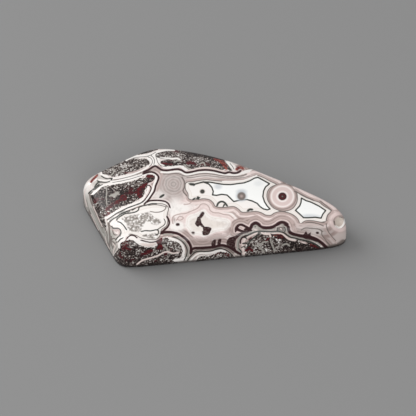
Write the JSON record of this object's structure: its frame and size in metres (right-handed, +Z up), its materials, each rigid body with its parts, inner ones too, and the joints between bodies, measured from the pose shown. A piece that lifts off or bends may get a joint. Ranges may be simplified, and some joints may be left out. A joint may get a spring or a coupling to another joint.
{
  "type": "crazy lace agate cabochon",
  "caption": "Polished freeform agate cabochon, kite-shaped, with an upright wall, a soft shoulder, a low domed top, a small dimple at the tip and a flat back to rest on.",
  "frame": {"origin": "middle of the base's extents, on the surface that the stone lies on", "axes": "+X along the stone towards its blunt tip, +Z up through the domed top, +Y towards the rear edge"},
  "size_m": [0.0506, 0.0266, 0.0082],
  "materials": {
    "agate_cabochon": "polished to a soft gloss, pink and white lace bands around nests of dark crystal"
  },
  "bodies": {
    "root": {"agate_cabochon": "agate_cabochon"}
  },
  "joints": []
}
